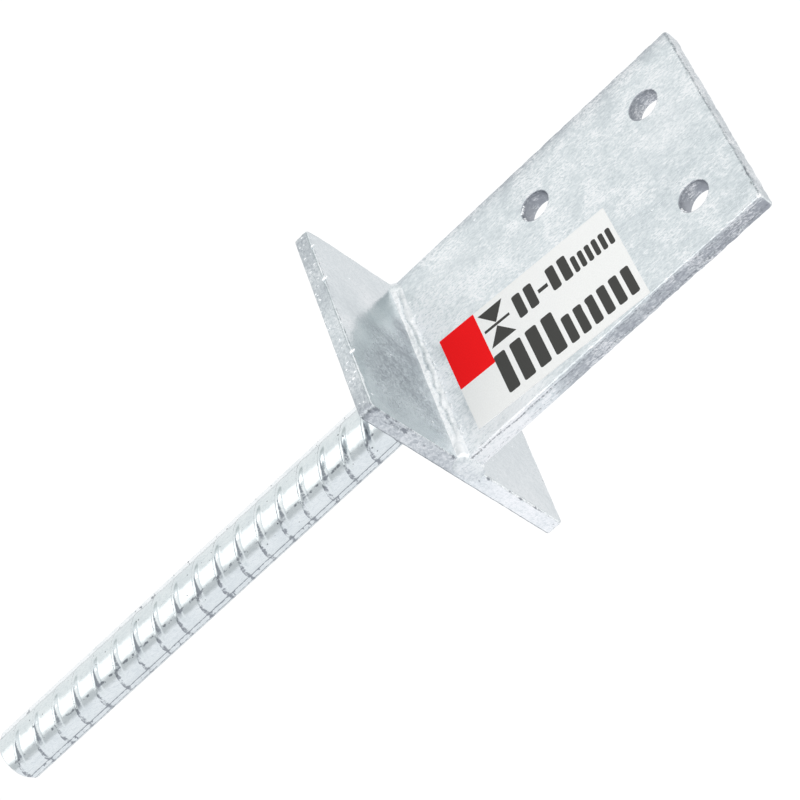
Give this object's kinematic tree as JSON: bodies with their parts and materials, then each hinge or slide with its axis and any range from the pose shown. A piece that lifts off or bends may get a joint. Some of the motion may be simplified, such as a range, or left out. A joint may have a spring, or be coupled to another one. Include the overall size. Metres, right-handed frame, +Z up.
{
  "type": "post base anchor",
  "caption": "Flat upright blade with bolt holes, welded across a square base plate over a ribbed bar that is cast into concrete.",
  "frame": {"origin": "middle of the base plate's underside, where the ribbed bar leaves it and enters the concrete", "axes": "+Z up along the blade, away from the bar; +X across the blade's width; +Y through the blade's thickness, away from the face with the sticker"},
  "size_m": [0.09, 0.09, 0.331],
  "materials": {
    "galvanised_flat_steel": "hot-dip galvanised, pale blue-grey, satin, finely mottled",
    "galvanised_ribbed_bar": "hot-dip galvanised, bright and smooth between the ribs",
    "galvanised_weld": "hot-dip galvanised weld bead, bright, uneven"
  },
  "bodies": {
    "root": {"upright_blade": "galvanised_flat_steel", "base_plate": "galvanised_flat_steel", "anchor_bar": "galvanised_ribbed_bar", "blade_weld_front": "galvanised_weld", "blade_weld_back": "galvanised_weld", "bar_weld": "galvanised_weld"}
  },
  "joints": []
}
